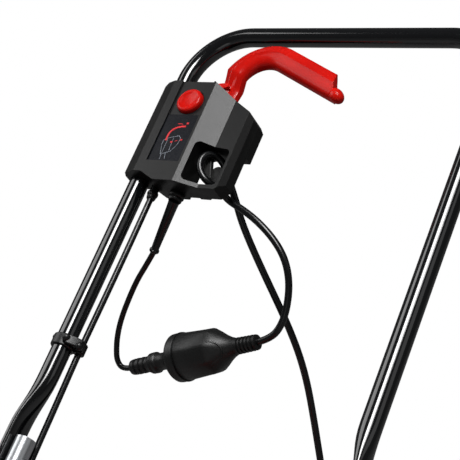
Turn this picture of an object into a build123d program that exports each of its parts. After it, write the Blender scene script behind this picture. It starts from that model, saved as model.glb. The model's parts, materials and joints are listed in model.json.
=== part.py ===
"""Corded electric rotary lawn mower with a folding push handle, a switch box and a grass box.

Millimetres, +Z up, the mower's front faces -Y and its left side is +X.
The origin is on the ground at the middle of the mower's length and width.
"""
from build123d import *
from math import cos, sin, tan, radians, pi
import os

os.makedirs("parts", exist_ok=True)

# ---------------------------------------------------------------- driving dimensions
BLADE_Y = -292.5          # the blade's axis, from the middle of the mower's length
TUBE_R = 11.0             # handle tube
TUBE_WALL = 1.2
LEG_SPACING = 380.0       # between the two legs' axes
HANDLE_ANGLE = 50.0       # the handle plane's slope
BAR_Y = 536.5             # crossbar axis
BAR_Z = 1000.0
BEND_R = 65.0             # the two corners of the upper handle
SWAGE_TOP = -490.0        # along the leg, measured down from the crossbar axis
SWAGE_END = -515.0
PIVOT_V = -560.0          # fold bolt
FLAT_THICK = 8.0          # pressed flat end of the leg
FLAT_WIDE = 29.0
FLAT_U = -7.0             # its middle, from the leg's axis
LOWER_U = 8.3             # lower tube's axis, from the leg's axis
LOWER_TOP_V = -530.0
LOWER_END_V = -1040.0
BOLT_R = 4.0
TUBE_SCREWS_V = (-955.0, -1015.0)

AXLE_R = 5.0
FRONT_AXLE = (-185.0, 70.0)   # y from the blade's axis, and height: the wheel's radius
REAR_AXLE = (190.0, 90.0)
FRONT_WHEEL = (70.0, 34.0)    # radius, width
REAR_WHEEL = (90.0, 38.0)
OVERALL_HALF = 205.0          # outer faces of the wheels

DECK_BOTTOM = 42.0
DECK_TOP = 148.0
DECK_WALL = 3.5
DECK_HALF = 158.0
DECK_FRONT = -222.0
DECK_REAR = 205.0
BLADE_RING_R = 178.0          # round part of the deck over the blade
BLADE_R = 160.0
CHUTE_HALF = 108.0
CHUTE_FRONT = 88.0
CHUTE_TOP = 205.0

HOOD_BASE = (250.0, 266.0, 60.0)   # width, length, corner radius
HOOD_TOP = (186.0, 205.0, 62.0)
HOOD_BASE_Y = -51.0
HOOD_TOP_Y = -38.0
HOOD_Z = (148.6, 335.0)
HOOD_WALL = 3.0

SHAFT_R = 6.0
STATOR = (56.0, 36.0, 176.0, 262.0)   # outer radius, inner radius, bottom, top
ROTOR_R = 35.2
BRACKET_R = 66.0
MOTOR_SCREW_R = 61.0

FLAP_AXIS = (212.0, 210.0)    # y from the blade's axis, and height
FLAP_ANGLE = 52.0
FLAP_LENGTH = 112.0
FLAP_HALF = 104.0

BOX_HALF = 148.0
BOX_FRONT = 217.0
BOX_REAR = 560.0
BOX_BOTTOM = 78.0
BOX_SPLIT = 250.0
BOX_TOP = 330.0
BOX_WALL = 2.5

SWITCH_FRONT_W = 22.0         # switch box, in the handle plane's own frame
SWITCH_SPLIT_W = -8.0
SWITCH_BACK_W = -21.0
SWITCH_WALL = 2.5
BUTTON = (36.0, -110.0, 16.0)      # place and radius
BUTTON_TRAVEL = 4.5
LEVER_PIVOT = (75.0, -115.0)
LEVER_CENTRE = (108.0, -75.0)      # middle of the lever's bend
LEVER_BEND_R = 43.0
LEVER_SLOPE = -26.0
LEVER_STRAIGHT = 88.0
BOX_SCREWS = ((18, -88), (100, -125), (34, -198), (19, -150))
SMALL_GLAND = (19.5, -6.0)
LARGE_GLAND = (52.0, -6.0)

LEAD_D = 6.5
EXTENSION_D = 8.0
MOTOR_CABLE_D = 7.0
COUPLING_START = (-201.0, 401.5, 629.0)
COUPLING_SLOPE = 16.0
COIL_AT = (30.0, 400.0)
COIL_R = (52.0, 92.0)
COIL_HIGH = 34.0
PLUG_AT = (-40.0, 62.0, 15.3)     # cable end of its body, from the coil's centre and top

BASE = (Align.CENTER, Align.CENTER, Align.MIN)
ON_DECK = Pos(0, BLADE_Y, 0)
SLOPE = radians(HANDLE_ANGLE)
HANDLE = Plane(
    origin=(-LEG_SPACING / 2, BAR_Y, BAR_Z), x_dir=(1, 0, 0), z_dir=(0, -sin(SLOPE), cos(SLOPE))
)
written = {}


# ---------------------------------------------------------------- small helpers
def save(node, *shapes):
    """Write one node; several separate solids of a kind share it."""
    solids = [solid for shape in shapes for solid in shape.solids()]
    whole = solids[0] if len(solids) == 1 else Compound(children=solids)
    export_step(whole, f"parts/{node}.step")
    written[node] = sum(solid.volume for solid in solids)


def rod(start, end, radius):
    """A round bar between two points."""
    line = Vector(*end) - Vector(*start)
    plane = Plane(origin=start, z_dir=line)
    return plane * Cylinder(radius, line.length, align=BASE)


def pipe(start, end, radius, bore):
    """A round bar with a hole all the way along it."""
    return rod(start, end, radius) - rod(start, end, bore)


def block(low, high):
    """A box between two corners."""
    size = [b - a for a, b in zip(low, high)]
    middle = [(a + b) / 2 for a, b in zip(low, high)]
    return Pos(*middle) * Box(*size)


def mirrored_leg(shape):
    """The same piece on the other leg, in the handle plane's frame."""
    return mirror(shape, about=Plane.YZ.offset(LEG_SPACING / 2))


def both_sides(shape):
    """A piece and its mirror image across the mower's middle."""
    return [shape, mirror(shape, about=Plane.YZ)]


def side_profile(points, half_width, start=None):
    """A side view, given as y and z, drawn out across the mower."""
    face = make_face(Polyline(*points, close=True))
    low = -half_width if start is None else start
    plane = Plane(origin=(low, 0, 0), x_dir=(0, 1, 0), z_dir=(1, 0, 0))
    return extrude(plane * face, amount=half_width - low)


def spring(radius, wire, height, turns):
    """An open coil of round wire along +Z."""
    path = Helix(pitch=height / turns, height=height, radius=radius)
    return sweep(Plane(origin=path @ 0, z_dir=path % 0) * Circle(wire / 2), path=path)


def bend_radii(points):
    """The arc at each corner of a cord's route, as large as its two runs allow."""
    radii = []
    for before, here, after in zip(points, points[1:], points[2:]):
        first, second = Vector(*here) - Vector(*before), Vector(*after) - Vector(*here)
        turn = radians(first.get_angle(second))
        radii.append(0.45 * min(first.length, second.length) / tan(turn / 2))
    return radii


def cord(node, points, diameter):
    """A cord's tube: straight runs joined by tangent arcs."""
    radii = bend_radii(points)
    path = FilletPolyline(*points, radius=radii)
    tube = sweep(Plane(origin=path @ 0, z_dir=path % 0) * Circle(diameter / 2), path=path)
    section = pi * diameter**2 / 4
    print(f"{node}: length {path.length:.0f}, tightest bend {min(radii):.1f}, "
          f"volume ratio {tube.volume / (section * path.length):.3f}")
    print("   radii", [round(r) for r in radii])
    save(node, tube)
    return path


def in_row(u, v, w):
    """A point of the handle plane's frame, in the mower's frame."""
    return tuple(HANDLE.from_local_coords(Vector(u, v, w)))


# ---------------------------------------------------------------- upper handle
def upper_handle():
    corners = [(0, SWAGE_TOP), (0, 0), (LEG_SPACING, 0), (LEG_SPACING, SWAGE_TOP)]
    path = FilletPolyline(*corners, radius=BEND_R)
    start = Plane(origin=(0, SWAGE_TOP, 0), z_dir=(0, 1, 0))
    tube = sweep(start * (Circle(TUBE_R) - Circle(TUBE_R - TUBE_WALL)), path=path)
    down = Plane(origin=(0, SWAGE_TOP, 0), x_dir=(1, 0, 0), z_dir=(0, -1, 0))
    flat = Pos(FLAT_U, 0) * Rot(0, 0, 90) * SlotOverall(FLAT_WIDE, FLAT_THICK)
    swage = loft([down * Circle(TUBE_R), down.offset(SWAGE_TOP - SWAGE_END) * flat])
    end_v = PIVOT_V - FLAT_WIDE / 2
    tongue = extrude(down.offset(SWAGE_TOP - SWAGE_END) * flat, amount=SWAGE_END - end_v)
    far = FLAT_WIDE
    rounding = rod((-far, PIVOT_V, 0), (far, PIVOT_V, 0), FLAT_WIDE / 2)
    rounding += block((-far, PIVOT_V, -far), (far, SWAGE_TOP, far))
    end = swage + (tongue & rounding)
    end -= rod((-far, PIVOT_V, 0), (far, PIVOT_V, 0), BOLT_R + 0.1)
    save("upper_handle", HANDLE * (tube + end + mirrored_leg(end)))


def fold_joints():
    """Fold bolts, star knobs and the two lower tubes."""
    head_u = LOWER_U + TUBE_R
    bolt = rod((-30, PIVOT_V, 0), (head_u + 1, PIVOT_V, 0), BOLT_R)
    bolt += rod((head_u, PIVOT_V, 0), (head_u + 4, PIVOT_V, 0), 8.5)
    save("pivot_bolts", HANDLE * bolt, HANDLE * mirrored_leg(bolt))

    outside = FLAT_U - FLAT_THICK / 2
    knob = rod((outside - 20, PIVOT_V, 0), (outside - 6, PIVOT_V, 0), 15)
    knob += rod((outside - 6.01, PIVOT_V, 0), (outside - 0.3, PIVOT_V, 0), 10)
    for number in range(6):
        turn = radians(60 * number)
        groove_v, groove_w = PIVOT_V + 18.5 * cos(turn), 18.5 * sin(turn)
        knob -= rod((outside - 21, groove_v, groove_w), (outside - 5, groove_v, groove_w), 6)
    knob -= rod((-30.1, PIVOT_V, 0), (0, PIVOT_V, 0), BOLT_R + 0.05)
    save("star_knob_right", HANDLE * knob)
    save("star_knob_left", HANDLE * mirrored_leg(knob))

    tube = pipe((LOWER_U, LOWER_END_V, 0), (LOWER_U, LOWER_TOP_V, 0), TUBE_R, TUBE_R - TUBE_WALL)
    tube -= rod((-9, PIVOT_V, 0), (30, PIVOT_V, 0), BOLT_R + 0.1)
    for v in TUBE_SCREWS_V:
        tube -= rod((-12, v, 0), (30, v, 0), 2.2)
    save("lower_tube_right", HANDLE * tube)
    save("lower_tube_left", HANDLE * mirrored_leg(tube))


# ---------------------------------------------------------------- switch box
def switch_outline(inset=0.0):
    """The box seen square to the handle plane."""
    shape = make_face(Polyline(
        (-15, -89), (-8, -81), (58, -81), (86, -98), (111, -113), (117, -121), (117, -208),
        (108, -217), (33, -217), (13, -207), (-15, -207), close=True,
    ))
    return offset(shape, -inset, kind=Kind.INTERSECTION) if inset else shape


def switch_section(back, inset=0.0):
    """The front shell's facets, seen along the leg."""
    front = SWITCH_FRONT_W
    shape = make_face(Polyline(
        (-15, back), (-15, 9), (-12, 16), (3, front), (60, front), (87, 10), (111, 10),
        (117, 4), (117, back), close=True,
    ))
    return offset(shape, -inset, kind=Kind.INTERSECTION) if inset else shape


def switch_solid(back, inset=0.0):
    """The outline and the facets together."""
    upright = extrude(Pos(0, 0, -60) * switch_outline(inset), amount=120)
    along = Plane(origin=(0, -240, 0), x_dir=(1, 0, 0), z_dir=(0, -1, 0))
    facets = extrude(along * switch_section(back, inset), amount=-180)
    return upright & facets


def window(grow=0.0):
    """The opening that the cord's loop is pushed through."""
    shape = make_face(Polyline((66, -160), (108, -165), (108, -212), (66, -212), close=True))
    shape = fillet(shape.vertices(), 6)
    return offset(shape, grow) if grow else shape


def lever_slot():
    """Where the lever's web comes out of the top edge."""
    return block((48, -112, -5.8), (103, -70, 8.4))


def switch_box():
    leg = rod((0, -240, 0), (0, -60, 0), TUBE_R + 0.05)
    glands = rod((SMALL_GLAND[0], -225, SMALL_GLAND[1]), (SMALL_GLAND[0], -198, SMALL_GLAND[1]), 5.0)
    glands += rod((LARGE_GLAND[0], -225, LARGE_GLAND[1]), (LARGE_GLAND[0], -198, LARGE_GLAND[1]), 6.6)
    hole = extrude(Pos(0, 0, -60) * window(), amount=120)
    sleeve = extrude(Pos(0, 0, SWITCH_SPLIT_W) * window(SWITCH_WALL), amount=60)
    recess = block((14, -192, SWITCH_FRONT_W - 2), (57, -70, SWITCH_FRONT_W + 5))

    outer = switch_solid(SWITCH_SPLIT_W)
    inner = switch_solid(SWITCH_SPLIT_W - 20, SWITCH_WALL) - block((-30, -240, 17.4), (62, -60, 40))
    front = outer - inner
    front += outer & sleeve
    front += outer & pipe((0, -207, 0), (0, -81, 0), TUBE_R + 2.5, TUBE_R)
    for u, v in BOX_SCREWS:
        front += outer & rod((u, v, SWITCH_SPLIT_W), (u, v, 19), 3.6)
    front = front - recess - hole - leg - glands - lever_slot()
    front -= rod((BUTTON[0], BUTTON[1], 10), (BUTTON[0], BUTTON[1], 30), BUTTON[2] + 0.5)
    for u, v in BOX_SCREWS:
        front -= rod((u, v, SWITCH_SPLIT_W - 1), (u, v, 8), 1.5)
    save("switchbox_front", HANDLE * front)

    plate = extrude(Pos(0, 0, SWITCH_BACK_W) * switch_outline(), amount=SWITCH_SPLIT_W - SWITCH_BACK_W)
    cavity = extrude(
        Pos(0, 0, SWITCH_BACK_W + SWITCH_WALL) * switch_outline(SWITCH_WALL),
        amount=SWITCH_SPLIT_W - SWITCH_BACK_W,
    )
    low = block((62, -230, SWITCH_BACK_W - 1), (130, -162, -10.5))
    low_left = block((-30, -230, SWITCH_BACK_W - 1), (62.01, -162, -15))
    rear = plate - cavity - low - low_left
    floor_low = extrude(Pos(0, 0, -10.5) * switch_outline(), amount=2.5)
    rear += floor_low & block((62, -230, -12), (130, -159.5, 0))
    floor_left = extrude(Pos(0, 0, -15) * switch_outline(), amount=2.5)
    rear += floor_left & block((-30, -230, -16), (64.5, -159.5, -12))
    ends = extrude(Pos(0, 0, -15) * (switch_outline() - switch_outline(SWITCH_WALL)), amount=7)
    rear += ends & block((-30, -230, -16), (64.5, -159.5, -8))
    rear += block((62, -216, -15), (64.5, -160, -8))
    rear += block((0, -162, SWITCH_BACK_W), (114.5, -159.5, -8))
    clamp = rod((0, -207, 0), (0, -81, 0), TUBE_R + 2.5)
    rear += (clamp & plate) - block((-30, -240, SWITCH_SPLIT_W), (30, -60, 30))
    for u, v in BOX_SCREWS:
        floor = SWITCH_BACK_W if v > -160 else -15
        rear += rod((u, v, floor), (u, v, SWITCH_SPLIT_W), 3.6)
    rear = rear - hole - leg - glands
    for u, v in BOX_SCREWS:
        rear -= rod((u, v, -30), (u, v, -7), 1.6)
    pin_boss = rod((*LEVER_PIVOT, -18.6), (*LEVER_PIVOT, -7.5), 5.5)
    rear += pin_boss - rod((*LEVER_PIVOT, -16), (*LEVER_PIVOT, 0), 3.0)
    save("switchbox_rear", HANDLE * rear)

    screws = []
    for u, v in BOX_SCREWS:
        deep = SWITCH_BACK_W if v > -160 else -15
        screws.append(HANDLE * (
            rod((u, v, deep - 2), (u, v, deep), 3.0) + rod((u, v, deep), (u, v, 6), 1.5)
        ))
    save("box_screws", *screws)

    label = block((14.4, -191.6, 20.05), (56.6, -128, 20.6))
    save("label_panel", HANDLE * label)

    hook = block((79, -216.5, -14), (93, -181, -10.5))
    hook += rod((86, -181, -14), (86, -181, -10.5), 7)
    save("cord_hook", HANDLE * hook)

    save("microswitch", HANDLE * block((84, -157, -7), (104, -131, 3)))
    save("lever_pin", HANDLE * rod((*LEVER_PIVOT, -16), (*LEVER_PIVOT, 8), 3.0))
    save("lever_spring", HANDLE * (Pos(*LEVER_PIVOT, -7.0) * spring(8.0, 1.2, 0.1 + 1.3 * 1.4, 1.4)))
    save("button_spring", HANDLE * (Pos(*BUTTON[:2], 1.0) * spring(6.5, 1.0, 9.0, 5)))


def lock_button():
    """Pressed in before the lever can be pulled."""
    u, v, radius = BUTTON
    cap = rod((u, v, 15.6), (u, v, 33), radius)
    rim = [edge for edge in cap.edges() if edge.center().Z > 32]
    cap = fillet(rim, 3.5)
    cap -= Pos(u, v, 33 + 34) * Sphere(36.5)
    cap -= rod((u, v, 15), (u, v, 28), radius - 2.5)
    cap += rod((u, v, 15.2), (u, v, 16.8), radius + 1.8) - rod((u, v, 15), (u, v, 17), radius - 2.5)
    cap += rod((u, v, 10), (u, v, 28.5), 3.5)
    save("lock_button", HANDLE * cap)


def lever_path():
    """The lever's fold line: round its bend, then straight along the crossbar."""
    centre = Vector(*LEVER_CENTRE)
    slope = radians(LEVER_SLOPE)
    begin, finish = radians(158), radians(90 + LEVER_SLOPE)
    start = centre + Vector(cos(begin), sin(begin)) * LEVER_BEND_R
    middle_turn = (begin + finish) / 2
    middle = centre + Vector(cos(middle_turn), sin(middle_turn)) * LEVER_BEND_R
    end = centre + Vector(cos(finish), sin(finish)) * LEVER_BEND_R
    tip = end + Vector(cos(slope), sin(slope)) * LEVER_STRAIGHT
    return Wire([ThreePointArc(start, middle, end).edge(), Line(end, tip).edge()])


def start_lever():
    path = lever_path()
    begin = path @ 0
    up = Vector(0, 0, 1)
    section = Plane(origin=begin, x_dir=(path % 0).cross(up), z_dir=(path % 0) * -1)
    outline = make_face(Polyline(
        (-11.8, 10.0), (0, 15.5), (15, 15.5), (16, 14.5), (16, 1.5), (13, 1.5), (13, 12.5),
        (0.8, 12.5), (-11.8, 8.6), close=True,
    ))
    channel = sweep(section * outline, path=path)
    tip_plane = Plane(origin=path @ 1, x_dir=(path % 1).cross(up), z_dir=(path % 1) * -1)
    wall = make_face(Polyline(
        (-11.8, 10.0), (0, 15.5), (15, 15.5), (16, 14.5), (16, 1.5), (9, 1.5), (-11.8, 8.6), close=True
    ))
    channel += extrude(tip_plane * wall, amount=-3)
    channel += rod(tip_plane.from_local_coords((12, 6, 0)), tip_plane.from_local_coords((12, 6, -9)), 5)
    web = make_face(Polyline((61, -83), (66, -66), (80, -64), (92, -80), (88, -96), (75, -101), close=True))
    web = extrude(Pos(0, 0, -4) * web, amount=11)
    hub = rod((*LEVER_PIVOT, -4), (*LEVER_PIVOT, 7.0), 13)
    neck = make_face(Polyline((63, -108), (61, -80), (90, -84), (87, -110), close=True))
    hub += extrude(Pos(0, 0, -4) * neck, amount=11)
    hub += web
    lip = make_face(Polyline((63, -72), (68, -58), (84, -60), (92, -80), (84, -88), close=True))
    lip = extrude(Pos(0, 0, -4) * lip, amount=17)
    lever = channel + hub + (lip - block((0, -200, -10), (61, 0, 30)))
    lever -= rod((*LEVER_PIVOT, -10), (*LEVER_PIVOT, 20), 3.05)
    save("start_lever", HANDLE * lever)


def cable_fittings():
    u, w = SMALL_GLAND
    small = rod((u, -226, w), (u, -216, w), 6.2) + rod((u, -216, w), (u, -200, w), 4.9)
    small += rod((u, -203, w), (u, -200, w), 6.2)
    small -= rod((u, -230, w), (u, -190, w), MOTOR_CABLE_D / 2)
    save("motor_cable_grommet", HANDLE * small)

    u, w = LARGE_GLAND
    collar = rod((u, -226, w), (u, -217.2, w), 9.0) + rod((u, -217.3, w), (u, -200, w), 6.5)
    collar += rod((u, -204, w), (u, -200, w), 9.0)
    mouth = Vector(*in_row(u, -225.5, w))
    tip = Vector(-169.0, 399.5, 764.0)
    along = Plane(origin=mouth, z_dir=tip - mouth)
    length = (tip - mouth).length
    sleeve = along * Cone(6.3, 4.3, length, align=BASE)
    sleeve += along * Pos(0, 0, length - 3) * Cylinder(5.4, 3, align=BASE)
    whole = (HANDLE * collar) + sleeve
    whole -= along * Cylinder(LEAD_D / 2, length + 1, align=BASE)
    save("bend_sleeve", whole)


def cable_clip():
    """Rubber strap round the leg and the motor cable."""
    v, wide = -417, 6
    ring = pipe((0, v - wide, 0), (0, v + wide, 0), TUBE_R + 2.5, TUBE_R + 0.02)
    loop_u, loop_w = 15.5, -10.0
    loop = pipe((loop_u, v - wide, loop_w), (loop_u, v + wide, loop_w), 5.4, MOTOR_CABLE_D / 2 + 0.02)
    body = ring + (loop - rod((0, v - 9, 0), (0, v + 9, 0), TUBE_R + 0.02))
    body -= rod((loop_u, v - 9, loop_w), (loop_u, v + 9, loop_w), MOTOR_CABLE_D / 2 + 0.02)
    body += rod((0, v, TUBE_R + 1), (0, v, TUBE_R + 7), 3.5)
    body += block((-TUBE_R - 7, v - 4, -3), (-TUBE_R - 1, v + 4, 3))
    save("cable_clip", HANDLE * body)


# ---------------------------------------------------------------- deck and running gear
def deck():
    body_y = (DECK_FRONT + DECK_REAR) / 2
    length = DECK_REAR - DECK_FRONT

    def shell(inset, bottom, top, rounding):
        flat = RectangleRounded(2 * (DECK_HALF - inset), length - 2 * inset, 40 - inset)
        long_part = extrude(Pos(0, body_y, bottom) * flat, amount=top - bottom)
        round_part = Pos(0, 0, bottom) * Cylinder(BLADE_RING_R - inset, top - bottom, align=BASE)
        parts = []
        for part in (long_part, round_part):
            parts.append(fillet(part.edges().group_by(Axis.Z)[-1], rounding))
        return parts[0] + parts[1]

    whole = shell(0, DECK_BOTTOM, DECK_TOP, 18)
    chute = side_profile(
        [(CHUTE_FRONT, 140), (CHUTE_FRONT, 152), (DECK_REAR, CHUTE_TOP), (DECK_REAR, 120),
         (CHUTE_FRONT, 120)],
        CHUTE_HALF,
    )
    whole += chute
    shoulder = side_profile([(112, 120), (202, 120), (202, 222), (184, 246), (152, 196)], 172, start=138)
    socket_start = HANDLE.from_local_coords(Vector(LOWER_U, -930, 0))
    socket_end = HANDLE.from_local_coords(Vector(LOWER_U, -1044, 0))
    socket = Pos(0, -BLADE_Y, 0) * rod(socket_start, socket_end, TUBE_R + 4.5)
    bore = Pos(0, -BLADE_Y, 0) * rod(
        HANDLE.from_local_coords(Vector(LOWER_U, -900, 0)),
        HANDLE.from_local_coords(Vector(LOWER_U, LOWER_END_V, 0)),
        TUBE_R,
    )
    for piece in both_sides(shoulder):
        whole += piece
    for piece in both_sides(socket):
        whole += piece

    whole -= shell(DECK_WALL, DECK_BOTTOM - 10, DECK_TOP - DECK_WALL, 15)
    inner_chute = side_profile(
        [(CHUTE_FRONT + 4, 110), (CHUTE_FRONT + 4, 149), (DECK_REAR + 5, CHUTE_TOP - 1.5),
         (DECK_REAR + 5, 110)],
        CHUTE_HALF - DECK_WALL,
    )
    whole -= inner_chute
    for piece in both_sides(bore):
        whole -= piece
    for y, z in (FRONT_AXLE, REAR_AXLE):
        whole -= rod((-180, y, z), (180, y, z), AXLE_R)
    whole -= rod((0, 0, 100), (0, 0, 160), 16)
    for y_side in (-1, 1):
        for x_side in (-1, 1):
            spot = (x_side * MOTOR_SCREW_R * cos(pi / 4), y_side * MOTOR_SCREW_R * sin(pi / 4))
            whole -= rod((*spot, 100), (*spot, 160), 2.0)
    lug = rod((104.8, *FLAP_AXIS), (112, *FLAP_AXIS), 6.5) + block((104.8, 196, 188), (112, 210, 212))
    for piece in both_sides(lug):
        whole += piece
    y, z = REAR_AXLE
    for side in (-1, 1):
        whole -= rod((164 * side, y, z), (230 * side, y, z), REAR_WHEEL[0] + 5)
        for v in TUBE_SCREWS_V:
            hole = HANDLE * rod((-12, v, 0), (25, v, 0), 2.2)
            hole = Pos(0, -BLADE_Y, 0) * hole
            whole -= mirror(hole, about=Plane.YZ) if side > 0 else hole
    whole -= rod((-130, *FLAP_AXIS), (130, *FLAP_AXIS), 3.0)
    save("deck", ON_DECK * whole)


def tube_screws():
    screws = []
    for v in TUBE_SCREWS_V:
        across = rod((-9.5, v, 0), (25, v, 0), 2.2) + rod((-10.5, v, 0), (-7.2, v, 0), 5)
        screws += [HANDLE * across, HANDLE * mirrored_leg(across)]
    save("tube_screws", *screws)


def hood():
    def form(inset, top):
        base = RectangleRounded(HOOD_BASE[0] - 2 * inset, HOOD_BASE[1] - 2 * inset, HOOD_BASE[2] - inset)
        head = RectangleRounded(HOOD_TOP[0] - 2 * inset, HOOD_TOP[1] - 2 * inset, HOOD_TOP[2] - inset)
        return loft([Pos(0, HOOD_BASE_Y, HOOD_Z[0]) * base, Pos(0, HOOD_TOP_Y, top) * head])

    outer = fillet(form(0, HOOD_Z[1]).edges().group_by(Axis.Z)[-1], 22)
    inner = fillet(form(HOOD_WALL, HOOD_Z[1] - HOOD_WALL).edges().group_by(Axis.Z)[-1], 19)
    cover = outer - inner
    for number in range(7):
        y = -80 + 14 * number
        for side in (-1, 1):
            x = side * 105
            cover -= Pos(x, y, 250) * Box(50, 6, 64)
    cover -= rod((-75, 40, 222), (-75, 100, 222), MOTOR_CABLE_D / 2)
    save("motor_cover", ON_DECK * cover)


def motor():
    outer, inner, bottom, top = STATOR
    save("motor_stator", ON_DECK * pipe((0, 0, bottom), (0, 0, top), outer, inner))
    lower = pipe((0, 0, 148.1), (0, 0, 156), BRACKET_R, 14)
    lower += pipe((0, 0, 156), (0, 0, bottom), BRACKET_R, 57.5)
    lower += pipe((0, 0, 156), (0, 0, 168), 20, 14)
    upper = pipe((0, 0, top + 8), (0, 0, top + 14), BRACKET_R, 14)
    upper += pipe((0, 0, top), (0, 0, top + 8), BRACKET_R, 57.5)
    upper += pipe((0, 0, top + 2), (0, 0, top + 8), 20, 14)
    screws = []
    for number in range(4):
        turn = pi / 4 + number * pi / 2
        x, y = MOTOR_SCREW_R * cos(turn), MOTOR_SCREW_R * sin(turn)
        hole = rod((x, y, 100), (x, y, 300), 2.0)
        lower -= hole
        upper -= hole
        screw = rod((x, y, 145), (x, y, top + 14), 2.0) + rod((x, y, top + 14), (x, y, top + 18), 4)
        screws.append(ON_DECK * screw)
    save("motor_brackets", ON_DECK * lower, ON_DECK * upper)
    save("motor_screws", *screws)
    low_bearing = pipe((0, 0, 156), (0, 0, 167), 14, SHAFT_R + 0.05)
    high_bearing = pipe((0, 0, top + 3), (0, 0, top + 13), 14, SHAFT_R + 0.05)
    save("motor_bearings", ON_DECK * low_bearing, ON_DECK * high_bearing)
    save("capacitor", ON_DECK * rod((0, -112, 149), (0, -112, 232), 20))

    save("rotor_shaft", ON_DECK * rod((0, 0, 64), (0, 0, 300), SHAFT_R))
    save("armature", ON_DECK * pipe((0, 0, bottom + 3), (0, 0, top - 3), ROTOR_R, SHAFT_R))
    fan = pipe((0, 0, 287), (0, 0, 290), 50, SHAFT_R) + pipe((0, 0, 287), (0, 0, 299), 12, SHAFT_R)
    for number in range(9):
        fan += Rot(0, 0, 40 * number) * block((11, -1.2, 289.5), (49, 1.2, 299))
    save("cooling_fan", ON_DECK * fan)
    hub = pipe((0, 0, 64), (0, 0, 72), 34, SHAFT_R) + pipe((0, 0, 72), (0, 0, 104), 14, SHAFT_R)
    save("blade_hub", ON_DECK * hub)
    blade = block((-BLADE_R, -24, 61), (BLADE_R, 24, 64)) & rod((0, 0, 50), (0, 0, 70), BLADE_R)
    for turn in (0, 180):
        lift = block((95, 6, 60.9), (BLADE_R - 12, 40, 64.1))
        blade -= Rot(0, 0, turn) * lift
        wing = side_profile([(6, 61), (6, 64), (27, 74), (28, 71)], BLADE_R - 14, start=95)
        blade += Rot(0, 0, turn) * wing
    blade -= rod((0, 0, 50), (0, 0, 70), 5.0)
    save("blade", ON_DECK * blade)
    bolt = rod((0, 0, 58.5), (0, 0, 61), 14)
    bolt += Pos(0, 0, 51) * extrude(RegularPolygon(9, 6), amount=8) + rod((0, 0, 60.9), (0, 0, 64), 5.0)
    save("blade_bolt", ON_DECK * bolt)


def wheel(radius, width):
    """One moulded wheel with its tread, turned about the X axis; its outer face is at x = 0."""
    rim = radius - 16
    profile = make_face(Polyline(
        (AXLE_R + 0.05, -width), (18, -width), (18, -width + 8), (rim, -width + 8), (rim, -width + 1),
        (radius - 3, -width), (radius, -width + 4), (radius, -4), (radius - 3, 0), (rim, 0),
        (rim - 2, -7), (24, -9), (24, -4), (AXLE_R + 0.05, -4), close=True,
    ))
    turned = revolve(Plane.XZ * profile, axis=Axis.Z)
    return Rot(0, 90, 0) * turned


def running_gear():
    for name, (y, z), (radius, width) in (
        ("front", FRONT_AXLE, FRONT_WHEEL), ("rear", REAR_AXLE, REAR_WHEEL),
    ):
        half = OVERALL_HALF - 6
        save(f"{name}_axle", ON_DECK * rod((-half, y, z), (half, y, z), AXLE_R))
        one = Pos(OVERALL_HALF, y, z) * wheel(radius, width)
        cap = rod((OVERALL_HALF - 4, y, z), (OVERALL_HALF, y, z), 23.5)
        cap = fillet(cap.edges().group_by(Axis.X)[-1], 2)
        other, other_cap = (mirror(piece, about=Plane.YZ) for piece in (one, cap))
        save(f"{name}_wheel_left", ON_DECK * one)
        save(f"{name}_wheel_right", ON_DECK * other)
        save(f"{name}_hub_cap_left", ON_DECK * cap)
        save(f"{name}_hub_cap_right", ON_DECK * other_cap)


def rear_flap():
    y, z = FLAP_AXIS
    save("flap_rod", ON_DECK * rod((-114, y, z), (114, y, z), 3.0))
    plate = block((-FLAP_HALF, 0, -5.5), (FLAP_HALF, FLAP_LENGTH, -2.5))
    plate += block((-FLAP_HALF, FLAP_LENGTH - 3, -5.5), (FLAP_HALF, FLAP_LENGTH, 3))
    barrel = rod((-FLAP_HALF, 0, 0), (FLAP_HALF, 0, 0), 5.5)
    flap = plate + barrel
    flap -= rod((-200, 0, 0), (200, 0, 0), 3.05)
    flap -= block((-22, -8, -8), (22, 8, 8))
    save("rear_flap", ON_DECK * Pos(0, y, z) * Rot(FLAP_ANGLE, 0, 0) * flap)
    coil = Rot(0, 90, 0) * Pos(0, 0, -16) * spring(4.2, 1.6, 32, 8)
    save("flap_spring", ON_DECK * Pos(0, y, z) * coil)


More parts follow.
